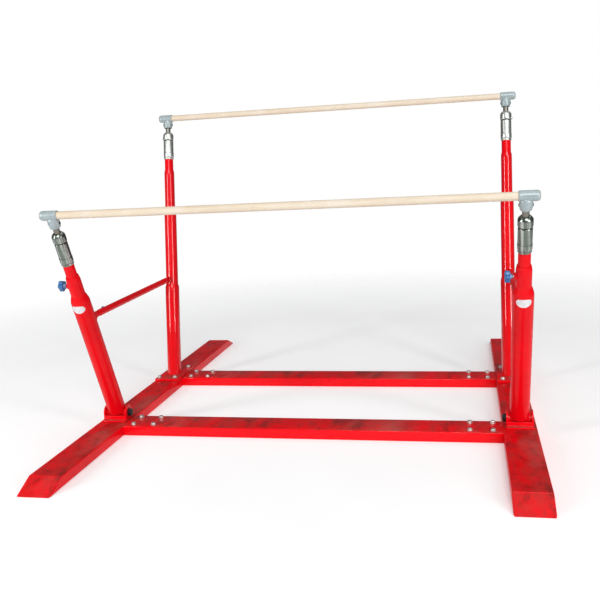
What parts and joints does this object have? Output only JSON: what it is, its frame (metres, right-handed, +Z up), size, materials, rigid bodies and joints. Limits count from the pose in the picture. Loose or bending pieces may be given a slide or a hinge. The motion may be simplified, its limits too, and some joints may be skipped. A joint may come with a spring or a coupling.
{
  "type": "uneven parallel bars",
  "caption": "Free-standing uneven gymnastic bars: wooden rails on telescoping red posts, the low pair hinged and braced by struts, on a bolted base frame.",
  "frame": {"origin": "on the floor, midway between the two side bases and midway along them", "axes": "+X along the rails to the right-hand side base, +Y from the low rail to the high rail, +Z up"},
  "size_m": [2.476, 3.08, 1.8527],
  "materials": {
    "frame_paint": "gloss red paint",
    "zinc": "bright zinc plate",
    "plated_sleeve": "satin nickel plate",
    "cast_head": "grey hammered paint on casting",
    "black_steel": "black oxide",
    "rail_wood": "sanded, unvarnished",
    "knob_blue": "moulded",
    "knob_navy": "moulded"
  },
  "bodies": {
    "base": {"side_base_left": "frame_paint", "side_base_right": "frame_paint", "crossbeam_front": "frame_paint", "crossbeam_rear": "frame_paint", "beam_bolts_front_left": "zinc", "beam_bolts_front_right": "zinc", "beam_bolts_rear_left": "zinc", "beam_bolts_rear_right": "zinc", "high_post_left": "frame_paint", "high_post_right": "frame_paint", "high_post_bolts_left": "zinc", "high_post_bolts_right": "zinc", "low_foot_left": "frame_paint", "low_foot_right": "frame_paint", "low_hinge_pin_left": "black_steel", "low_hinge_pin_right": "black_steel", "strut_high_pin_left": "frame_paint", "strut_high_pin_right": "frame_paint"},
    "low_posts": {"low_post_left": "frame_paint", "low_post_right": "frame_paint", "strut_low_pin_left": "frame_paint", "strut_low_pin_right": "frame_paint"},
    "low_extension": {"low_inner_left": "frame_paint", "low_inner_right": "frame_paint", "low_sleeve_left": "plated_sleeve", "low_sleeve_right": "plated_sleeve", "low_stem_left": "zinc", "low_stem_right": "zinc"},
    "low_bar": {"low_head_left": "cast_head", "low_head_right": "cast_head", "low_head_pin_left": "black_steel", "low_head_pin_right": "black_steel", "low_rail": "rail_wood"},
    "high_extension": {"high_inner_left": "frame_paint", "high_inner_right": "frame_paint", "high_sleeve_left": "plated_sleeve", "high_sleeve_right": "plated_sleeve", "high_stem_left": "zinc", "high_stem_right": "zinc"},
    "high_bar": {"high_head_left": "cast_head", "high_head_right": "cast_head", "high_head_pin_left": "black_steel", "high_head_pin_right": "black_steel", "high_rail": "rail_wood"},
    "clamp_stud_left": {"clamp_stud_left": "zinc"},
    "clamp_knob_left": {"clamp_knob_left": "knob_blue"},
    "strut_knob_left": {"strut_knob_left": "knob_navy"},
    "strut_tube_left": {"strut_tube_left": "frame_paint"},
    "strut_rod_left": {"strut_rod_left": "frame_paint"},
    "clamp_stud_right": {"clamp_stud_right": "zinc"},
    "clamp_knob_right": {"clamp_knob_right": "knob_blue"},
    "strut_knob_right": {"strut_knob_right": "knob_navy"},
    "strut_tube_right": {"strut_tube_right": "frame_paint"},
    "strut_rod_right": {"strut_rod_right": "frame_paint"}
  },
  "joints": [
    {"name": "low_posts_lean", "type": "hinge", "parent": "base", "child": "low_posts", "pos_m": [0, -0.56, 0.095], "axis": [1, 0, 0], "range_deg": [-4, 6]},
    {"name": "low_height", "type": "slide", "parent": "low_posts", "child": "low_extension", "axis": [0, -0.396, 0.9182], "range_m": [-0.036, 0.3]},
    {"name": "low_bar_tilt", "type": "hinge", "parent": "low_extension", "child": "low_bar", "pos_m": [0, -1.0594, 1.2529], "axis": [1, 0, 0], "range_deg": [-8, 8]},
    {"name": "high_height", "type": "slide", "parent": "base", "child": "high_extension", "axis": [0, 0.1533, 0.9882], "range_m": [-0.07, 0.35]},
    {"name": "high_bar_tilt", "type": "hinge", "parent": "high_extension", "child": "high_bar", "pos_m": [0, 0.6431, 1.7845], "axis": [1, 0, 0], "range_deg": [-8, 8]},
    {"name": "clamp_left_travel", "type": "slide", "parent": "low_posts", "child": "clamp_stud_left", "axis": [-1, 0, 0], "range_m": [0, 0.0046]},
    {"name": "clamp_left_turn", "type": "hinge", "parent": "clamp_stud_left", "child": "clamp_knob_left", "pos_m": [-1.15, -0.91168, 0.91039], "axis": [-1, 0, 0], "range_deg": [0, 1080]},
    {"name": "strut_left_swing", "type": "hinge", "parent": "base", "child": "strut_tube_left", "pos_m": [-1.15, 0.413, 0.728], "axis": [1, 0, 0], "range_deg": [-0.65, 0.95]},
    {"name": "strut_left_knob_turn", "type": "hinge", "parent": "strut_tube_left", "child": "strut_knob_left", "pos_m": [-1.15, -0.5389, 0.71434], "axis": [-1, 0, 0], "continuous": true},
    {"name": "strut_left_length", "type": "slide", "parent": "strut_tube_left", "child": "strut_rod_left", "axis": [0, -0.9999, -0.0143], "range_m": [-0.044, 0.0655]},
    {"name": "clamp_right_travel", "type": "slide", "parent": "low_posts", "child": "clamp_stud_right", "axis": [-1, 0, 0], "range_m": [0, 0.0046]},
    {"name": "clamp_right_turn", "type": "hinge", "parent": "clamp_stud_right", "child": "clamp_knob_right", "pos_m": [1.15, -0.91168, 0.91039], "axis": [-1, 0, 0], "range_deg": [0, 1080]},
    {"name": "strut_right_swing", "type": "hinge", "parent": "base", "child": "strut_tube_right", "pos_m": [1.15, 0.413, 0.728], "axis": [1, 0, 0], "range_deg": [-0.65, 0.95]},
    {"name": "strut_right_knob_turn", "type": "hinge", "parent": "strut_tube_right", "child": "strut_knob_right", "pos_m": [1.15, -0.5389, 0.71434], "axis": [-1, 0, 0], "continuous": true},
    {"name": "strut_right_length", "type": "slide", "parent": "strut_tube_right", "child": "strut_rod_right", "axis": [0, -0.9999, -0.0143], "range_m": [-0.044, 0.0655]}
  ],
  "couplings": [
    {"joint": "clamp_left_travel", "follows": "clamp_left_turn", "m_per_rad": 0.000239},
    {"joint": "strut_left_swing", "follows": "low_posts_lean", "ratio": 0.14619},
    {"joint": "strut_left_length", "follows": "low_posts_lean", "m_per_rad": 0.61898},
    {"joint": "clamp_right_travel", "follows": "clamp_right_turn", "m_per_rad": 0.000239},
    {"joint": "strut_right_swing", "follows": "low_posts_lean", "ratio": 0.14619},
    {"joint": "strut_right_length", "follows": "low_posts_lean", "m_per_rad": 0.61898}
  ]
}
